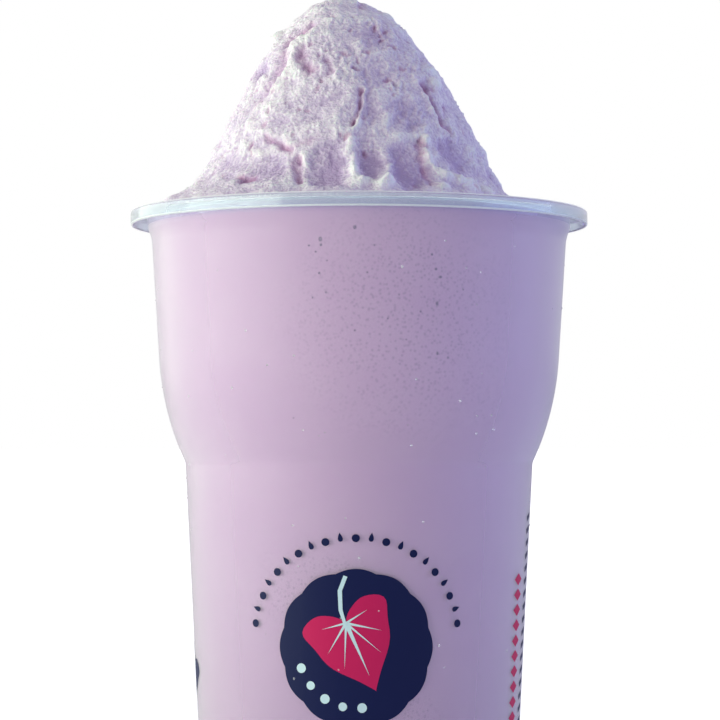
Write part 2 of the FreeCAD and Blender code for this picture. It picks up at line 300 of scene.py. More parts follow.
for radius, height, size, steps in fillets:
    round_ring(bm, radius, height, size, steps)
print(f"{len(fillets)} fillets, {len(bm.faces)} faces")

# %% [markdown]
# The print, the pinholes and the beads of damp all lie on the wall, so one function gives its radius
# at any height. It follows the same lines and the same arc as the cross-section.

# %% A wall radius for everything that lies on the wall
def wall_radius(height):
    """Outside of the wall at a height from the foot up to the neck, in millimetres."""
    if height >= SHOULDER_TOP:
        return SHOULDER_RADIUS + (height - SHOULDER_TOP) * math.tan(UPPER_DRAFT)
    if height <= CREASE:
        return body_radius(height)
    inward = (-math.cos(UPPER_DRAFT), math.sin(UPPER_DRAFT))
    chord = (CREASE_RADIUS - SHOULDER_RADIUS, CREASE - SHOULDER_TOP)
    reach = (chord[0] ** 2 + chord[1] ** 2) / (2 * (chord[0] * inward[0] + chord[1] * inward[1]))
    centre = (SHOULDER_RADIUS + inward[0] * reach, SHOULDER_TOP + inward[1] * reach)
    return centre[0] + math.sqrt(reach ** 2 - (height - centre[1]) ** 2)


print("wall radius at the shoulder's middle:", round(wall_radius((SHOULDER_TOP + CREASE) / 2), 2), "mm")

# %% [markdown]
# ### Clear polypropylene
#
# The plastic is clear with a faint cool cast. The wall has the soft sheen of cold plastic under a thin
# film of damp, so its highlights are broad. The rim is thicker and slightly milky, and light gathers
# in its two outer edges: these are painted as a highlight, with a whiter plastic that lets less light
# through. Polypropylene bends light about as glass does, with an index of 1.49, and the
# bright edges keep that here. The rim is given 1.42 and the thin wall only 1.2: hardly any mirror
# image of the lamps is then left in the wall, and its shine comes from the film of damp.
#
# The path tracer would need thousands of tries to find the lamps through clear plastic, so for shadow
# rays and for light that bounces off the ice it is plainly transparent: the ice behind it is then lit
# as if by open air, a little less so under the rim.

# %% Materials of the cup
def clear_plastic(name, cast, roughness, clearness, shade, mist=0.0, damp=0.0, ior=1.49):
    """A clear plastic that lets lamp light through, dimmed by shade, with mist and a film of damp on it."""
    material, tree, out = new_material(name)
    plastic = add(
        tree, "ShaderNodeBsdfPrincipled", Base_Color=linear(cast), Roughness=roughness, IOR=ior,
        Transmission_Weight=clearness, Sheen_Weight=mist, Sheen_Roughness=0.6,
        Coat_Weight=damp, Coat_Roughness=0.65,
    )
    open_air = add(tree, "ShaderNodeBsdfTransparent", Color=linear(shade))
    path = add(tree, "ShaderNodeLightPath")
    passing = add(
        tree, "ShaderNodeMath", {"operation": "MAXIMUM"},
        _0=path.outputs["Is Shadow Ray"], _1=path.outputs["Is Diffuse Ray"],
    )
    both = add(
        tree, "ShaderNodeMixShader", Fac=passing.outputs[0],
        _1=plastic.outputs[0], _2=open_air.outputs[0],
    )
    tree.links.new(both.outputs[0], out.inputs["Surface"])
    return material


clear_pp = clear_plastic(
    "clear_polypropylene", "#F6FAFD", roughness=0.25, clearness=0.89, shade="#F8FBFD",
    mist=1.0, damp=0.35, ior=1.2,
)
milky_pp = clear_plastic(
    "milky_rim_polypropylene", "#E4F2F9", roughness=0.12, clearness=0.85, shade="#ECF0F6",
    mist=0.6, ior=1.42,
)
# A whiter, less clear plastic for the rim's two outer edges: a painted highlight
highlight_edge_pp = clear_plastic(
    "painted_highlight_edge_polypropylene", "#F6FBFE", roughness=0.3, clearness=0.25, shade="#ECF0F6", mist=0.6,
)
print("plastics:", clear_pp.name, milky_pp.name, highlight_edge_pp.name)

# %% Give each face of the cup its plastic
# Every face starts clear; the rim turns milky, and its two outer edges take the whiter plastic of a painted
# highlight
MILKY, EDGE_HIGHLIGHT = 1, 2
TOP_BAND = 0.3
EDGE_WIDTH = 0.5
RIM_FROM = RIM_TOP - SKIRT_DROP - 0.1
RIM_WITHIN = COLLAR_RADIUS - 0.05
for face in bm.faces:
    middle = face.calc_center_median() / MM
    if middle.z > RIM_FROM and middle.xy.length > RIM_WITHIN:
        face.material_index = MILKY
        on_edge = middle.z > RIM_TOP - TOP_BAND or middle.z < RIM_TOP - SKIRT_DROP + SKIRT_ROUND
        if on_edge and middle.xy.length > RIM_RADIUS - EDGE_WIDTH:
            face.material_index = EDGE_HIGHLIGHT

cup = finish_piece(bm, "clear_cup", clear_pp, milky_pp, highlight_edge_pp)
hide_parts("cup")

# %% [markdown]
# ## The slush, turned first
#
# The slush is one mass: it fills the cup to the brim and stands in a heap. We turn it in the same
# way as the cup, from the floor, up the inside of the wall, across to the heap's foot and up to its
# tip. In the cup it reaches a hair into the wall, because a gap of air there would show as a
# silvery film. The heap needs many fine rows, to carry the marks of the spoon.

# %% Sizes of the slush, in millimetres
FILL_TOP = RIM_TOP - 0.8
INTO_WALL = 0.2
HEAP_HEIGHT = HEAP_TOP - FILL_TOP
HEAP_RADIUS = 33.2
HEAP_POWER = 0.53
HEAP_LEAN = 3.6
FOOT_SPREAD = 13.5
SPREAD_HEIGHT = 2.6
HEAP_LIMIT = COLLAR_RADIUS - WALL - 0.5
LIMIT_SHARPNESS = 14
HEAP_STEPS = 500
HEAP_ROWS = 150
ROW_CROWDING = 1.35


def heap_half_width(share, bearing):
    """Half width of the heap at a share of its height: blunt at the top, spreading at the foot."""
    narrowing = np.maximum(1 - share, 0) ** HEAP_POWER
    leftward = 0.4 + 1.15 * ((1 - np.cos(bearing)) / 2) ** 2
    spread = FOOT_SPREAD * leftward * np.exp(-share * HEAP_HEIGHT / SPREAD_HEIGHT)
    return HEAP_RADIUS * narrowing + spread


def heap_skin(share, bearing):
    """Places on the heap's smooth skin, in millimetres, by share of the height and bearing from +X.

    Three slow waves round the heap keep its outline from being a circle.
    """
    swell = (
        0.55 * np.sin(2 * bearing + 0.8 + 2.0 * share)
        + 0.35 * np.sin(3 * bearing - 1.1 + 4.0 * share)
        + 0.25 * np.sin(5 * bearing + 2.0 - 3.0 * share)
    )
    radius = heap_half_width(share, bearing) + swell * (1 - share)
    lean = -HEAP_LEAN * (0.45 + 0.55 * share)
    x, y = lean + radius * np.cos(bearing), radius * np.sin(bearing)
    fit = (1 + (np.hypot(x, y) / HEAP_LIMIT) ** LIMIT_SHARPNESS) ** (-1 / LIMIT_SHARPNESS)
    return np.stack([x * fit, y * fit, FILL_TOP + share * HEAP_HEIGHT], axis=-1)


# %% Turn the slush
bm = bmesh.new()
spot = line_to(bm, None, 0, FLOOR_TOP)
spot = line_to(bm, spot, body_radius(FLOOR_TOP) - WALL + INTO_WALL, FLOOR_TOP)
spot = side_up(bm, spot, WALL - INTO_WALL, FILL_TOP)
spot = line_to(bm, spot, HEAP_LIMIT, FILL_TOP)
for row in range(1, HEAP_ROWS + 1):
    share = 1 - (1 - row / HEAP_ROWS) ** ROW_CROWDING
    spot = line_to(bm, spot, HEAP_RADIUS * (1 - share) ** HEAP_POWER, FILL_TOP + share * HEAP_HEIGHT)
spin_round(bm, HEAP_STEPS)
slush = finish_piece(bm, "slush_ice")
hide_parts("slush")

# %% [markdown]
# ## Shaping the heap
#
# Each fine row is now moved onto the heap's own skin, which leans to one side and spreads at its foot.
# Then the marks of the making are pressed in, one kind after another, as a modeller would in clay:
# scoops of the spoon, folds where one spoonful lay over the last, soft lumps, and the grain.
# Each kind is a depth along the skin's normal, worked out for all the vertices at once.

# %% Put the rows on the skin
mesh = slush.data
points = np.empty(len(mesh.vertices) * 3)
mesh.vertices.foreach_get("co", points)
points = points.reshape(-1, 3) / MM
on_heap = points[:, 2] > FILL_TOP + 1e-4
bearing = np.arctan2(points[:, 1], points[:, 0])
share = np.clip((points[:, 2] - FILL_TOP) / HEAP_HEIGHT, 0, 1)
at_brim = np.abs(points[:, 2] - FILL_TOP) < 1e-3
within_foot = np.hypot(points[:, 0], points[:, 1]) < HEAP_LIMIT + 0.01
moved = on_heap | (at_brim & within_foot)
points[moved] = heap_skin(share[moved], bearing[moved])
mesh.vertices.foreach_set("co", (points * MM).ravel())
mesh.update()
normals = np.empty(len(mesh.vertices) * 3)
mesh.vertices.foreach_get("normal", normals)
normals = normals.reshape(-1, 3)
print(f"{moved.sum()} vertices on the heap")

# %% [markdown]
# Ice doesn't break along smooth lines. Before any mark is measured, every vertex's place is pushed
# about a little by noise, and marks are laid out by these pushed places, so their edges wander.

# %% Noise for every vertex of the heap, and the pushed places
heap_spots = np.flatnonzero(on_heap)


def grain(size, high):
    """Soft noise of this size and height for every vertex of the heap."""
    found = np.zeros(len(points))
    for i in heap_spots:
        found[i] = noise.noise(Vector(points[i] / size))
    return found * high


pushed = points.copy()
for i in heap_spots:
    for size, push in ((2.6, 0.75), (1.0, 0.38)):
        pushed[i] += np.array(noise.noise_vector(Vector(points[i] / size))) * push
print(f"places pushed by up to {np.abs(pushed - points).max():.2f} mm")

# %% [markdown]
# A mark's place is given by two numbers: how far it lies to the right of the cup's axis, and how high
# above the rim. These helpers find that place on the skin, and then how far every vertex is from an
# oval or from a line laid there.

# %% Where a mark lies, and how far every vertex is from it
def level_of(height):
    """A height above the rim, in millimetres, as a share of the heap's height."""
    return np.clip((height + RIM_TOP - FILL_TOP) / HEAP_HEIGHT, 0.0, 0.995)


def bearing_at(x, height):
    """The bearing where the front of the skin lies x mm to the right of the cup's axis."""
    turns = np.linspace(-math.pi, 0, 721)
    front = heap_skin(np.full_like(turns, level_of(height)), turns)
    return turns[np.argmin(np.abs(front[:, 0] - x))]


def skin_frame(turn, height):
    """A place on the skin with the directions across it, up it and out of it."""
    def at(level, b):
        return heap_skin(np.array([level]), np.array([b]))[0]
    level, step = level_of(height), 1e-3
    across = at(level, turn + step) - at(level, turn - step)
    up = at(level + step, turn) - at(level - step, turn)
    across, up = across / np.linalg.norm(across), up / np.linalg.norm(up)
    out = np.cross(across, up)
    return at(level, turn), across, up, out / np.linalg.norm(out)


def oval(turn, height, wide, tall, tilt=0):
    """1 in the middle of an oval on the skin, falling to 0 at its edge as a shallow bowl does."""
    place, across, up, out = skin_frame(turn, height)
    off = pushed - place
    lean = math.radians(tilt)
    u = off @ (across * math.cos(lean) + up * math.sin(lean))
    v = off @ (up * math.cos(lean) - across * math.sin(lean))
    far = np.abs(off @ out) > max(wide, tall)
    bowl = np.clip(1 - (u / (wide / 2)) ** 2 - (v / (tall / 2)) ** 2, 0, None)
    return np.where(far, 0, bowl)


def along(places):
    """Distance of every vertex from a line over the skin, and how far it is to the line's right."""
    line = [skin_frame(turn, height) for turn, height in places]
    nearest, side = np.full(len(pushed), 1e9), np.zeros(len(pushed))
    for (a, _, _, out), (b, _, _, _) in zip(line, line[1:]):
        way = b - a
        t = np.clip((pushed - a) @ way / (way @ way), 0, 1)
        off = pushed - a - t[:, None] * way
        gap = np.linalg.norm(off, axis=1)
        closer = gap < nearest
        nearest = np.where(closer, gap, nearest)
        rightward = np.cross(way, out)
        side = np.where(closer, off @ rightward / np.linalg.norm(rightward), side)
    return nearest, side


def front(*places):
    """Places on the front given as (mm right of the axis, mm above the rim), as (bearing, height)."""
    return [(bearing_at(x, height), height) for x, height in places]


relief = np.zeros(len(points))
scooped = np.zeros(len(points))
# hollow_shade: painted shade, how much darker and pinker the colour turns in folds, holes and pits
hollow_shade = np.zeros(len(points))

# %% [markdown]
# ### Scoops
#
# The server packs the heap with the back of a round spoon, which leaves shallow bowls side by side,
# nearly upright, with an edge between each two. Where two bowls meet only the deeper one counts, so
# we keep the greatest depth of all of them, and the edges between them stay crisp.

# %% Press the scoops
# The back is the arc that the lists for the front don't cover, in degrees from +X
BACK_START = -12
BACK_SWEEP = 204
# mm right of the axis, mm above the rim, width, height, depth
front_scoops = [
    (-17.6, 6.3, 12.0, 10.5, 0.7), (-5.7, 6.2, 10.0, 15.0, 1.05), (2.3, 7.0, 7.0, 13.5, 1.1),
    (9.2, 5.8, 8.8, 14.5, 1.05), (19.0, 9.6, 10.5, 11.0, 0.9), (27.3, 6.4, 7.0, 8.0, 0.6),
    (1.9, 18.4, 4.6, 9.5, 0.6),
    (-25.2, 6.6, 6.5, 8.0, 0.5), (9.6, 17.8, 9.0, 9.0, 0.75), (3.4, 35.4, 9.0, 9.5, 0.55),
    (-8.6, 19.0, 10.0, 10.0, 0.35), (-14.8, 17.1, 7.0, 8.0, 0.3), (3.6, 26.4, 8.0, 8.5, 0.4),
]
for x, height, wide, tall, deep in front_scoops:
    scooped = np.maximum(scooped, deep * oval(bearing_at(x, height), height, wide, tall))
# mm above the rim, number in the row, width, depth
back_rows = [(8.0, 9, 11.5, 0.95), (18.5, 6, 11.0, 0.65), (30.0, 4, 9.0, 0.5)]
for row_height, count, wide, deep in back_rows:
    for i in range(count):
        turn = math.radians(BACK_START + BACK_SWEEP * (i + 0.5) / count) + rng.normal(0, 0.05)
        tall = wide * rng.uniform(1.0, 1.25)
        depth = deep * rng.uniform(0.8, 1.2)
        height = row_height + rng.normal(0, 0.8)
        scooped = np.maximum(scooped, depth * oval(turn, height, wide, tall))
relief -= scooped
print(f"deepest scoop {scooped.max():.2f} mm")

# %% [markdown]
# ### Folds and ridges
#
# Each spoonful is dragged over the last and leaves a fold, deep on one side with a proud lip on the
# other. The spoon's edge also pushes up thin crumbly ridges between the scoops. Both are lines drawn
# over the skin: a fold takes away with distance from its line, and a ridge adds. Both come and go
# along their length, because the ice crumbles unevenly.

# %% What a fold and a ridge do to the skin
uneven = np.clip(0.85 + grain(2.2, 0.75), 0.15, 1.6)


def fold(places, wide, deep, lip=0.0, lip_side=1):
    """A groove along the line, with a soft lip on its right (+1) or left (-1)."""
    gap, side = along(places)
    groove = deep * np.exp(-(gap / (wide / 2)) ** 2)
    beside = np.clip(side * lip_side / (0.5 * wide), 0, 1)
    crest = lip * np.exp(-((gap - wide * 0.75) / (wide * 0.6)) ** 2) * beside * uneven
    return crest, groove * np.clip(uneven, 0.7, 1.2)


def ridge(places, wide, high):
    """A rounded crest along the line."""
    gap, _ = along(places)
    return high * np.exp(-(gap / (wide / 2)) ** 2) * uneven


# %% Fold and ridge the skin
# places, width, depth, height of the lip, and its side
folds = [
    (front((-10.9, 36.9), (-14.2, 34.7)), 3.2, 0.8, 0.5, -1),
    (front((-14.9, 32.4), (-15.2, 29.6), (-16.4, 27.4)), 3.0, 0.7, 0.6, -1),
    (front((-17.6, 25.6), (-19.4, 23.6), (-20.8, 21.7)), 3.0, 0.45, 0.3, -1),
    (front((-11.5, 32.1), (-11.9, 29.9), (-9.8, 27.2)), 2.4, 0.75, 0.4, 1),
    (front((-6.4, 29.4), (-5.6, 26.6)), 1.5, 0.5, 0.2, -1),
    (front((0.1, 22.8), (0.3, 20.2), (-0.1, 17.5), (-1.3, 15.2)), 0.95, 1.1, 0.7, -1),
    (front((12.6, 24.4), (14.8, 20.3), (16.8, 16.7), (18.3, 14.8)), 1.3, 1.4, 0.6, 1),
    (front((-18.8, 13.3), (-15.7, 11.4), (-13.6, 10.2)), 1.5, 1.0, 0.5, -1),
    (front((-13.6, 10.2), (-11.2, 11.4), (-8.7, 12.6)), 1.5, 0.5, 0.3, -1),
    (front((-12.1, 8.2), (-12.0, 5.7), (-11.8, 3.3)), 1.8, 0.7, 0.2, 1),
    (front((11.8, 11.4), (12.4, 8.6), (13.4, 5.0), (14.6, 3.4)), 1.9, 0.8, 0.0, 1),
    (front((0.6, 44.2), (0.5, 42.0)), 1.3, 0.9, 0.0, 1),
]
# places, width, height
ridges = [
    (front((-10.6, 8.6), (-10.2, 5.0), (-9.8, 1.6)), 1.9, 0.55),
    (front((-1.5, 12.8), (-1.2, 8.5), (-0.7, 5.0), (-0.2, 2.2)), 2.6, 0.75),
    (front((-0.7, 5.0), (1.0, 3.2)), 2.2, 0.5),
    (front((5.8, 6.4), (4.6, 4.4), (4.2, 1.6)), 2.1, 0.8),
    (front((13.4, 12.4), (13.0, 9.7), (14.2, 6.9), (16.5, 4.9), (19.5, 4.3)), 2.0, 1.2),
    (front((-13.6, 10.6), (-8.7, 13.2), (-5.6, 14.0), (-1.3, 14.2)), 1.9, 0.35),
    (front((5.7, 12.3), (9.1, 13.3), (13.0, 13.6)), 2.0, 0.4),
    (front((-23.4, 12.6), (-20.0, 9.8), (-14.2, 9.8)), 1.6, 0.35),
    (front((4.8, 24.0), (6.4, 20.0), (5.4, 15.0)), 2.4, 0.35),
]
for i in range(7):
    turn, height = math.radians(8 + 165 * i / 6), rng.uniform(18, 33)
    drift = rng.uniform(-0.25, 0.25)
    length = 4 + 2 * (i % 3)
    places = [(turn, height), (turn + drift, height - length / 2), (turn + drift * 1.4, height - length)]
    folds.append((places, rng.uniform(2.0, 3.2), rng.uniform(0.4, 0.8), 0.5, rng.choice([-1, 1])))
for i in range(8):
    turn = math.radians(BACK_START + BACK_SWEEP * (i + 1) / 9)
    places = [(turn, 13.0), (turn + rng.normal(0, 0.04), 8), (turn + rng.normal(0, 0.08), 3)]
    ridges.append((places, 2.0, 0.7))
# Each fold's groove also darkens the colour, as painted shade
for places, wide, deep, lip, lip_side in folds:
    crest, groove = fold(places, wide, deep, lip, lip_side)
    relief += crest - groove
    hollow_shade = np.maximum(hollow_shade, groove / 1.3)
for places, wide, high in ridges:
    relief += ridge(places, wide, high)
print(f"{len(folds)} folds, {len(ridges)} ridges")

# %% [markdown]
# ### Lumps, holes and the grain of the ice
#
# Lumps slump to the foot, and small holes open where the ice tore. The spoon leaves fine parallel
# scratches in one scoop. Shaved ice has grain of every size, so the last layer is noise at three
# scales, each about half as high as the one before, with crumbs where the ice is torn.

# %% Swells, lumps and holes
# mm right of the axis, mm above the rim, width, height, and how far it stands out or goes in
swells = [(-18.2, 36.0, 12.0, 8.0, 1.6), (-20.5, 28.8, 10.0, 6.0, -1.2), (14.6, 27.6, 7.0, 5.0, 0.9),
          (8.5, 41.0, 8.0, 5.0, 0.9), (26.2, 11.4, 6.0, 6.0, 0.8), (-27.0, 9.0, 8.0, 6.0, -0.5)]
lumps = [(3.3, 2.9, 7.5, 3.4, 1.1), (21.8, 3.4, 6.5, 4.4, 1.3), (26.0, 2.6, 4.5, 3.4, 0.9),
         (15.0, 25.0, 4.2, 2.8, 0.9), (16.6, 2.6, 4.5, 2.6, 0.8), (-22.0, 16.0, 5.0, 4.0, 0.4)]
holes = [(-22.0, 4.1, 3.4, 3.2, 1.3), (-21.7, 11.8, 1.1, 2.4, 0.8), (-3.1, 30.9, 1.4, 1.3, 0.5),
         (-1.3, 27.6, 1.6, 1.6, 0.6), (1.7, 31.3, 1.4, 1.2, 0.5), (3.3, 37.3, 1.3, 1.2, 0.5),
         (6.8, 32.6, 1.5, 1.2, 0.5), (4.7, 34.0, 1.3, 1.1, 0.5), (5.4, 25.1, 1.6, 1.2, 0.6),
         (-2.6, 12.0, 1.6, 2.2, 0.7), (12.6, 11.8, 1.3, 2.6, 0.8), (21.1, 15.5, 1.2, 1.0, 0.5),
         (1.4, 9.6, 1.1, 1.0, 0.5), (5.3, 36.1, 1.6, 1.1, 0.5), (8.7, 27.8, 1.4, 1.1, 0.4),
         (-7.6, 24.6, 1.1, 1.2, 0.4), (7.0, 22.0, 1.0, 1.0, 0.4), (17.4, 20.4, 1.6, 1.3, 0.5)]
PITS = 130
for x, height, wide, tall, high in swells:
    relief += high * oval(bearing_at(x, height), height, wide, tall) ** 1.5
for x, height, wide, tall, high in lumps:
    relief += high * np.sqrt(oval(bearing_at(x, height), height, wide, tall)) * np.clip(uneven, 0.7, 1.3)
for x, height, wide, tall, deep in list(holes):
    for _ in range(2):
        holes.append((
            x + rng.normal(0, 0.9), height + rng.normal(0, 0.9),
            wide * rng.uniform(0.4, 0.7), tall * rng.uniform(0.4, 0.7), deep * 0.6,
        ))
# Holes and pits also darken the colour in their hollows, as painted shade
for x, height, wide, tall, deep in holes:
    hole = oval(bearing_at(x, height), height, wide * 1.15, tall * 1.15) ** 0.8
    relief -= deep * hole
    hollow_shade = np.maximum(hollow_shade, hole * (0.45 + 0.45 * deep))
for _ in range(PITS):
    turn, height, wide = rng.uniform(-math.pi, math.pi), rng.uniform(2, 41), rng.uniform(0.7, 1.4)
    hole = np.sqrt(oval(turn, height, wide, wide * rng.uniform(0.7, 1.5)))
    relief -= 0.35 * hole
    hollow_shade = np.maximum(hollow_shade, 0.5 * hole)
print(f"{len(swells)} swells, {len(lumps)} lumps, {len(holes)} holes, {PITS} pits")

# %% Scratches and grain, and the finished skin
SCRATCH_PITCH = 1.15
SCRATCH_DEPTH = 0.09
scratched = oval(bearing_at(-17.6, 6.9), 6.9, 13.0, 11.0)
slanting = pushed[:, 2] - 0.45 * pushed[:, 0]
relief += SCRATCH_DEPTH * np.sin(slanting * 2 * math.pi / SCRATCH_PITCH) * np.clip(scratched * 2, 0, 1)

broad = grain(9.0, 0.9)
coarse = grain(2.4, 0.42)
fine = grain(0.95, 0.26)
torn = np.clip(grain(5.0, 2.2) + 0.1, 0, 1)
crumbs = torn * np.abs(grain(0.8, 0.55))
fade = np.clip(share * HEAP_HEIGHT / 1.5, 0, 1)
marks = relief.copy()
relief += broad + coarse + fine * (0.6 + torn) + crumbs
tips = 1 - 0.5 * np.clip((share - 0.9) / 0.1, 0, 1)
points += normals * (relief * fade * tips * on_heap)[:, None]
reach = np.hypot(points[:, 0], points[:, 1])
hold = np.where(on_heap, np.minimum(1, HEAP_LIMIT / np.maximum(reach, 1e-6)), 1)
points[:, :2] *= hold[:, None]
points[:, 2] = np.where(on_heap, np.clip(points[:, 2], FILL_TOP + 0.02, None), points[:, 2])
mesh.vertices.foreach_set("co", (points * MM).ravel())
mesh.update()
print(f"relief from {relief[on_heap].min():.2f} to {relief[on_heap].max():.2f} mm")

# %% [markdown]
# The material has to know where the ice stands proud, for its whiter frost and painted highlight, where its
# folds, holes and pits lie, for the painted shade in them, and which part is heap. Three numbers between 0
# and 1 are kept on the mesh for every vertex, and the material reads them by name.

# %% Keep how high each spot stands and how deep its hollows are, for the painted light and shade of the material
def keep(name, values):
    """Stores one number for every vertex under this name."""
    layer = mesh.attributes.new(name, "FLOAT", "POINT")
    layer.data.foreach_set("value", np.clip(values, 0, 1).astype(np.float32) * moved)


# Whiter where the ice stands proud and towards the tip, darker where it lies low: partly frost, partly
# painted highlight and painted shade
tip_frost_and_highlight = 0.14 * np.clip((share - 0.72) / 0.25, 0, 1)
keep("stands", 0.5 + (marks + coarse + crumbs + fine) / 2.4 + tip_frost_and_highlight)
# Painted shade in the hollows
keep("hollow_shade", hollow_shade)
keep("heap", np.ones(len(points)))
print("kept on the mesh:", [name for name in ("stands", "hollow_shade", "heap") if name in mesh.attributes])

# %% [markdown]
# ### Milk ice
#
# Slush of milk, sugar and taro is opaque and pale: light goes a few millimetres in and comes out
# softly. Its colour is painted pinker and darker in the hollows as shade, and whiter where it stands
# proud, as frost and painted highlight. Against the wall it is wet and smooth and its colour is
# fuller, with patches of fine dark speckle, painted as the shade of air caught in tiny pores.

# %% Nodes for the slush
milk_ice, tree, out = new_material("taro_milk_ice")
place = add(tree, "ShaderNodeTexCoord").outputs["Object"]


def maths(operation, *values):
    """One sum over sockets or numbers."""
    numbered = {f"_{i}": value for i, value in enumerate(values)}
    return add(tree, "ShaderNodeMath", {"operation": operation}, **numbered).outputs[0]


def kept(name):
    """The number kept on the mesh under this name."""
    return add(tree, "ShaderNodeAttribute", {"attribute_name": name}).outputs["Fac"]


def mottle(size, detail=2.0):
    """Noise with features of this many millimetres."""
    return add(tree, "ShaderNodeTexNoise", Vector=place, Scale=1 / (size * MM), Detail=detail).outputs["Fac"]


def blend(fac, low, high):
    """From the colour low to the colour high by fac."""
    return add(tree, "ShaderNodeMix", {"data_type": "RGBA"}, _0=fac, _6=low, _7=high).outputs[2]


# %% Material of the slush
# The dark speckle, painted shade of air caught in tiny pores, is thickest round this spot at the front, in
# metres
AIRY_SPOT = (0.010, -0.041, 0.103)
# Inputs 1 to 4 of a Map Range node are From Min, From Max, To Min and To Max
# The heap's colour runs from lilac in low spots to near white on proud spots and the tip: frost with painted
# highlight and painted shade
relief_light_and_frost = maths("MULTIPLY_ADD", mottle(0.6, 1.0), 0.7, maths("SUBTRACT", kept("stands"), 0.36))
heap_colour = ramp(
    tree, relief_light_and_frost, (0.1, "#BDA7CD"), (0.38, "#D9C9E2"), (0.58, "#EDE3F0"), (0.8, "#FBF8FC"),
)
# Painted shade: the hollows are mixed towards a darker pink
heap_colour = blend(maths("MULTIPLY", kept("hollow_shade"), 0.8), heap_colour, linear("#CC98BC"))
fill_colour = ramp(tree, mottle(14.0), (0.3, "#D1A3CE"), (0.7, "#D4A8D0"))
air = add(tree, "ShaderNodeTexVoronoi", Vector=place, Scale=1 / (0.8 * MM)).outputs["Distance"]
specks = add(tree, "ShaderNodeMapRange", Value=air, _1=0.42, _2=0.15, _3=0.0, _4=1.0).outputs[0]
away = add(
    tree, "ShaderNodeVectorMath", {"operation": "DISTANCE"}, _0=place, _1=AIRY_SPOT,
).outputs["Value"]
airy = add(tree, "ShaderNodeMapRange", Value=away, _1=0.03, _2=0.01, _3=0.0, _4=1.0).outputs[0]
elsewhere = add(tree, "ShaderNodeMapRange", Value=mottle(26.0), _1=0.56, _2=0.7, _3=0.0, _4=0.8).outputs[0]
# Painted shade: dark specks where air is caught in tiny pores
pore_shade_specks = maths("MULTIPLY", maths("MULTIPLY", specks, maths("MAXIMUM", airy, elsewhere)), 0.5)
fill_colour = blend(pore_shade_specks, fill_colour, linear("#94779F"))
colour = blend(kept("heap"), fill_colour, heap_colour)
bump = add(
    tree, "ShaderNodeBump", Strength=1.0, Distance=0.36 * MM,
    Height=maths("MULTIPLY", mottle(0.6, 1.0), kept("heap")),
)
ice = add(
    tree, "ShaderNodeBsdfPrincipled", Base_Color=colour, Roughness=0.7, IOR=1.31,
    Subsurface_Weight=0.3, Subsurface_Radius=(1.0, 0.7, 0.9), Subsurface_Scale=1.6 * MM,
    Normal=bump.outputs["Normal"],
)
tree.links.new(ice.outputs[0], out.inputs["Surface"])
mesh.materials.append(milk_ice)
print(milk_ice.name, "has", len(tree.nodes), "nodes")

# %% [markdown]
# ## Air caught at the wall
#
# Where the slush meets the wall, bubbles of air leave small pinholes, dark with shade. They are too few and
# too
# plain for a texture: each is a small dark disc between the ice and the wall, facing out, which paints
# that shade. One cluster lies high at the front, and the rest are scattered all round.

# %% Lay a flat thing on the wall
def on_wall(bearing, height, lift):
    """A matrix that puts a flat thing on the wall at this bearing, its face outward."""
    radius = (wall_radius(height) + lift) * MM
    spot = Vector((radius * math.cos(bearing), radius * math.sin(bearing), height * MM))
    outward = Vector((math.cos(bearing), math.sin(bearing), 0))
    return Matrix.Translation(spot) @ outward.to_track_quat("Z", "Y").to_matrix().to_4x4()


# %% Pinholes
# mm right of the axis, mm above the foot, diameter
pinholes = [
    (-7.5, 118.2, 0.75), (-9.7, 117.0, 0.5), (-7.4, 117.1, 0.5), (-8.4, 115.8, 0.45), (-6.2, 114.1, 0.35),
    (-7.7, 111.7, 0.5), (-0.8, 120.4, 0.7), (-0.8, 100.7, 0.4), (15.3, 96.4, 0.5), (15.9, 111.1, 0.7),
    (15.0, 112.6, 0.6), (14.2, 115.4, 0.5), (15.2, 106.0, 0.6), (1.6, 111.8, 0.4), (3.0, 117.0, 0.35),
    (-6.4, 108.0, 0.35), (-9.0, 107.0, 0.35), (5.6, 103.0, 0.4), (9.2, 99.0, 0.35), (-12.8, 84.0, 0.35),
    (17.4, 95.6, 0.4), (12.0, 104.4, 0.4), (20.4, 108.8, 0.4), (7.8, 107.6, 0.35),
]
discs = [(-math.acos(x / wall_radius(height)), height, wide) for x, height, wide in pinholes]
for patch in range(9):
    turn, height = math.radians(12 + 156 * patch / 8), rng.uniform(60, 112)
    for _ in range(12):
        discs.append((turn + rng.normal(0, 0.12), height + rng.normal(0, 5), rng.uniform(0.3, 0.8)))
bm = bmesh.new()
for turn, height, wide in discs:
    matrix = on_wall(turn, height, 0.03 + INTO_WALL - WALL)
    stretch = Matrix.Diagonal((1.0, rng.uniform(0.8, 1.4), 1.0, 1.0))
    bmesh.ops.create_circle(bm, cap_ends=True, segments=12, radius=wide / 2 * MM, matrix=matrix @ stretch)
pinhole_shade, tree, out = new_material("air_pocket_painted_shade")
# The discs' dark mauve is painted shade inside the air pockets
shade = add(tree, "ShaderNodeBsdfPrincipled", Base_Color=linear("#876491"), Roughness=0.4)
tree.links.new(shade.outputs[0], out.inputs["Surface"])
pins = finish_piece(bm, "air_pocket_painted_shade", pinhole_shade)
print(len(discs), "pinholes")

# %% [markdown]
# ## The print
#
# Such cups carry a print in two or three inks. This one is a plain invention: a scalloped navy badge
# with a taro leaf in crimson, an arc of dots and drops over it, two columns of marks at the right and a
# small leaf at the left.
# Ink is thin, so we draw each shape flat, as it would lie on the unrolled wall, cut the flat drawing
# into narrow strips, and wrap it round the tapered wall a few hundredths of a millimetre proud.

# %% Shapes to draw with: u along the wall from the front, v above the foot
NAVY, CRIMSON, ICE = 0, 1, 2
# The print's layers, in mm over the wall, from the lowest to the highest
BASE, FIGURE, LINE, TOPMOST = 0.03, 0.06, 0.09, 0.1
WRAP_RADIUS = body_radius(40)
bm = bmesh.new()


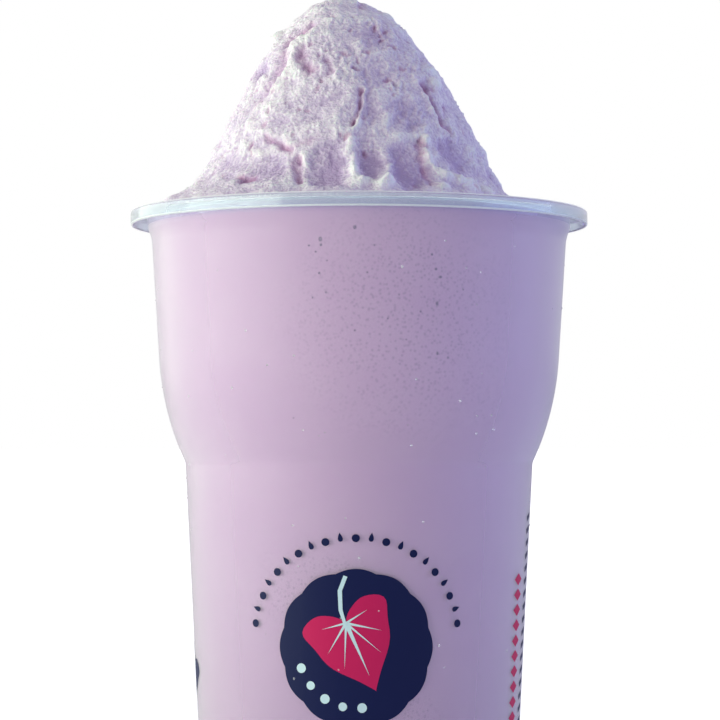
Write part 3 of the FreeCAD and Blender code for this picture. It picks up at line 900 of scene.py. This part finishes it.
def stamp(outline, lift, ink):
    """One flat shape of ink; a greater lift lies over a smaller one."""
    face = bm.faces.new([bm.verts.new((u, v, lift)) for u, v in outline])
    face.material_index = ink


def off_from(centre, reach, turn):
    """The point at a distance from centre in the direction turn."""
    return (centre[0] + reach * math.cos(turn), centre[1] + reach * math.sin(turn))


def ring_of(count, radius_at, centre):
    """Points round a centre, their distance given by radius_at(turn)."""
    turns = [2 * math.pi * i / count for i in range(count)]
    return [off_from(centre, radius_at(turn), turn) for turn in turns]


def turned(shape, centre, angle, scale=1.0):
    """A shape drawn about (0, 0), turned, scaled and moved to centre."""
    c, s = math.cos(angle) * scale, math.sin(angle) * scale
    return [(centre[0] + x * c - y * s, centre[1] + x * s + y * c) for x, y in shape]


def leaf(count=72):
    """A taro leaf about 2 wide: two round lobes, a deep notch between them and a long tip, downward."""
    def spot(t):
        across = 0.92 * math.sin(t) ** 3 * (1 + 0.05 * math.cos(9 * t))
        along = (12.5 * math.cos(t) - 5.5 * math.cos(2 * t) - 2.2 * math.cos(3 * t)) / 16
        return (across, along if along > 0 else along * 1.22)
    return [spot(2 * math.pi * i / count) for i in range(count)]


def vein(start, end, wide):
    """A thin line that tapers to a point."""
    dx, dy = end[0] - start[0], end[1] - start[1]
    length = math.hypot(dx, dy)
    nx, ny = -dy / length * wide / 2, dx / length * wide / 2
    return [(start[0] + nx, start[1] + ny), end, (start[0] - nx, start[1] - ny)]


drop = [
    (0.0, 1.5), (0.45, 0.6), (0.6, 0.0), (0.42, -0.45),
    (0.0, -0.62), (-0.42, -0.45), (-0.6, 0.0), (-0.45, 0.6),
]
diamond = [(0, 1.25), (2.1, 0), (0, -1.25), (-2.1, 0)]
dash = [(-1.5, 0.55), (1.5, 0.55), (1.5, -0.55), (-1.5, -0.55)]

# %% The badge with its leaf, and the dots in it
BADGE = (-0.6, 39.3)
BADGE_RADIUS = 14.9
SCALLOP = 0.55
LEAF_AT = (BADGE[0] - 0.6, BADGE[1] + 2.0)
LEAF_TURN = 0.42
LEAF_SIZE = 9.4
VEIN_START = (0.0, 0.34)
stamp(ring_of(240, lambda t: BADGE_RADIUS + SCALLOP * abs(math.cos(6 * t)), BADGE), BASE, NAVY)
stamp(turned(leaf(), LEAF_AT, LEAF_TURN, LEAF_SIZE), FIGURE, CRIMSON)
for end, wide in (((0, -0.86), 0.10), ((0.62, -0.1), 0.06), ((-0.62, -0.1), 0.06), ((0.42, -0.52), 0.05),
                  ((-0.42, -0.52), 0.05), ((0.52, 0.42), 0.05), ((-0.52, 0.42), 0.05)):
    stamp(turned(vein(VEIN_START, end, wide), LEAF_AT, LEAF_TURN, LEAF_SIZE), LINE, ICE)
stalk = [
    (0.0, 0.3), (0.05, 0.62), (0.2, 0.98), (0.42, 1.2),
    (0.36, 1.26), (0.12, 1.02), (-0.03, 0.64), (-0.06, 0.3),
]
stamp(turned(stalk, LEAF_AT, LEAF_TURN, LEAF_SIZE), TOPMOST, ICE)
for i in range(5):
    centre = off_from(BADGE, 11.6, math.radians(-160 + 19 * i))
    stamp(ring_of(20, lambda t: 0.95 - 0.1 * (i % 2), centre), FIGURE, ICE)
print(len(bm.faces), "shapes in the badge")

# %% The arc over the badge, the columns at the right and the small leaf at the left
SMALL_LEAF_AT = (-50.5, 32.5)
for i in range(21):
    angle = math.radians(168 - 156 * i / 20)
    centre = off_from(BADGE, 21.4, angle)
    if i % 2:
        stamp(turned(drop, centre, angle - math.pi / 2, 0.85), BASE, NAVY)
    else:
        stamp(ring_of(16, lambda t: 0.78, centre), BASE, NAVY)
for i in range(12):
    stamp(turned(diamond, (40.6, 51.5 - 3.1 * i), 0), BASE, CRIMSON)
for i in range(20):
    stamp(turned(dash, (46.6, 64.0 - 2.6 * i), 0.3), BASE, NAVY)
stamp(turned(leaf(), SMALL_LEAF_AT, -0.5, 6.0), BASE, NAVY)
stamp(turned(vein(VEIN_START, (0, -0.86), 0.12), SMALL_LEAF_AT, -0.5, 6.0), FIGURE, ICE)
print(len(bm.faces), "shapes of ink")

# %% Cut into strips and wrap round the wall
STRIP = 1.25
left, right = min(v.co.x for v in bm.verts), max(v.co.x for v in bm.verts)
for u in np.arange(math.floor(left), right, STRIP):
    bmesh.ops.bisect_plane(
        bm, geom=bm.verts[:] + bm.edges[:] + bm.faces[:], plane_co=(u, 0, 0), plane_no=(1, 0, 0),
    )
bmesh.ops.triangulate(bm, faces=bm.faces)
for vert in bm.verts:
    u, v, lift = vert.co
    turn = -math.pi / 2 + u / WRAP_RADIUS
    radius = (wall_radius(v) + lift) * MM
    vert.co = (radius * math.cos(turn), radius * math.sin(turn), v * MM)
print(f"print from {left:.1f} to {right:.1f} mm along the wall, in strips of {STRIP} mm")

# %% The three inks
inks = []
for name, code in (("ink_navy", "#0A1648"), ("ink_crimson", "#D0205F"), ("ink_ice_blue", "#D2EEF4")):
    ink, tree, out = new_material(name)
    coat = add(tree, "ShaderNodeBsdfPrincipled", Base_Color=linear(code), Roughness=0.45, IOR=1.49,
               Specular_IOR_Level=0.2)
    tree.links.new(coat.outputs[0], out.inputs["Surface"])
    inks.append(ink)
print_piece = finish_piece(bm, "cup_print", *inks)

# %% [markdown]
# ## Chill on the wall
#
# A cold cup gathers damp. Fine beads sit on the outside, thickest about the shoulder. Each is a
# flattened ball of water, made clear by the same recipe as the plastic, and all are one piece.

# %% Beads of damp
BEADS = 120
BEADS_TOP = RIM_TOP - 7
BEADS_SPAN = 100
bm = bmesh.new()
for _ in range(BEADS):
    turn, height = rng.uniform(-math.pi, math.pi), BEADS_TOP - BEADS_SPAN * rng.beta(1.3, 2.0)
    size = rng.uniform(0.12, 0.3) * MM
    flat = Matrix.Diagonal((size, size * rng.uniform(0.8, 1.3), size * 0.5, 1.0))
    bmesh.ops.create_icosphere(bm, subdivisions=1, radius=1.0, matrix=on_wall(turn, height, 0.02) @ flat)
damp = clear_plastic("damp_bead", "#FFFFFF", 0.05, 0.7, "#FFFFFF")
beads = finish_piece(bm, "damp_beads", damp)

# %% [markdown]
# ## Studio
#
# The cup stands on a plain pale floor. A large soft box at the front left is the main light, a weaker
# one behind it lights the left edge, and a weak cool one fills the right side. The world gives a little
# light all round and is white to look at. The floor is lit like paper, and to the camera it also glows:
# less near the cup, so that the cup's shadow shows, and fully from 0.8 m away, so that it meets the
# white of the world without a line.

# %% Lamps
def soft_box(name, place, wide, tall, power, code):
    """A large soft lamp that faces the middle of the cup."""
    light = bpy.data.lights.new(name, "AREA")
    light.shape, light.size, light.size_y = "RECTANGLE", wide, tall
    light.energy, light.color = power, linear(code)[:3]
    lamp = bpy.data.objects.new(name, light)
    bpy.context.scene.collection.objects.link(lamp)
    lamp.location = place
    lamp.rotation_euler = (Vector((0, 0, 0.1)) - Vector(place)).to_track_quat("-Z", "Y").to_euler()


soft_box("key_left", (-0.92, -0.42, 0.21), 1.05, 0.42, 8.5, "#F5FFE8")
soft_box("edge_left", (-0.8, 0.4, 0.21), 0.8, 0.42, 2.5, "#F5FFE8")
soft_box("fill_right", (0.95, -0.05, 0.35), 0.9, 0.65, 3.4, "#A3BFFF")
print("lamps:", [light.name for light in bpy.data.lights])

# %% World
world = bpy.data.worlds.new("studio")
bpy.context.scene.world = world
world.use_nodes = True
tree = world.node_tree
tree.nodes.clear()
path = add(tree, "ShaderNodeLightPath")
mirrored = add(
    tree, "ShaderNodeMath", {"operation": "MAXIMUM"},
    _0=path.outputs["Is Glossy Ray"], _1=path.outputs["Is Transmission Ray"],
)
seen = add(
    tree, "ShaderNodeMath", {"operation": "MAXIMUM"},
    _0=path.outputs["Is Camera Ray"], _1=mirrored.outputs[0],
)
dim = add(tree, "ShaderNodeBackground", Color=linear("#EAE7F4"), Strength=0.44)
white = add(tree, "ShaderNodeBackground", Color=linear("#FFFFFF"), Strength=1.0)
both = add(tree, "ShaderNodeMixShader", Fac=seen.outputs[0], _1=dim.outputs[0], _2=white.outputs[0])
tree.links.new(both.outputs[0], add(tree, "ShaderNodeOutputWorld").inputs["Surface"])
print("world", world.name, "has", len(tree.nodes), "nodes")

# %% Floor
FLOOR_HALF = 20.0
SHADOW_REACH = 0.15
WHITE_FROM = 0.8
bm = bmesh.new()
bmesh.ops.create_grid(bm, x_segments=1, y_segments=1, size=FLOOR_HALF)
floor_mesh = bpy.data.meshes.new("floor")
bm.to_mesh(floor_mesh)
bm.free()
floor = bpy.data.objects.new("floor", floor_mesh)
bpy.context.scene.collection.objects.link(floor)
paper, tree, out = new_material("white_paper")
path = add(tree, "ShaderNodeLightPath")
matte = add(tree, "ShaderNodeBsdfDiffuse", Color=linear("#E6E6E8"))
spot_on_floor = add(tree, "ShaderNodeTexCoord").outputs["Object"]
off = add(tree, "ShaderNodeVectorMath", {"operation": "LENGTH"}, _0=spot_on_floor).outputs["Value"]
strength = add(
    tree, "ShaderNodeMapRange", Value=off, _1=SHADOW_REACH, _2=WHITE_FROM, _3=0.64, _4=1.0,
).outputs[0]
glow = add(tree, "ShaderNodeEmission", Color=linear("#FFFFFF"), Strength=strength)
lit = add(tree, "ShaderNodeAddShader", _0=matte.outputs[0], _1=glow.outputs[0])
to_eye = path.outputs["Is Camera Ray"]
both = add(tree, "ShaderNodeMixShader", Fac=to_eye, _1=matte.outputs[0], _2=lit.outputs[0])
tree.links.new(both.outputs[0], out.inputs["Surface"])
floor_mesh.materials.append(paper)
print("floor", FLOOR_HALF * 2, "m wide")

# %% [markdown]
# ## Camera
#
# The camera stands half a metre away, about level with the crease in the cup's wall, and looks
# slightly upwards with a long lens.

# %% Camera
DISTANCE = 510.0
EYE_HEIGHT = RIM_TOP - 47.3
LOOK_UP = 1.87
SIDESTEP = 0.2
camera = bpy.data.objects.new("camera", bpy.data.cameras.new("camera"))
bpy.context.scene.collection.objects.link(camera)
camera.location = (SIDESTEP * MM, -DISTANCE * MM, EYE_HEIGHT * MM)
camera.rotation_euler = (math.radians(90 + LOOK_UP), 0, 0)
camera.data.sensor_width = 36.0
camera.data.lens = 122.4
camera.data.clip_start = 0.01
bpy.context.scene.camera = camera
print(f"camera {DISTANCE:.0f} mm away, lens {camera.data.lens:.1f} mm")

# %% Colour as it is written
bpy.context.scene.view_settings.view_transform = "Standard"
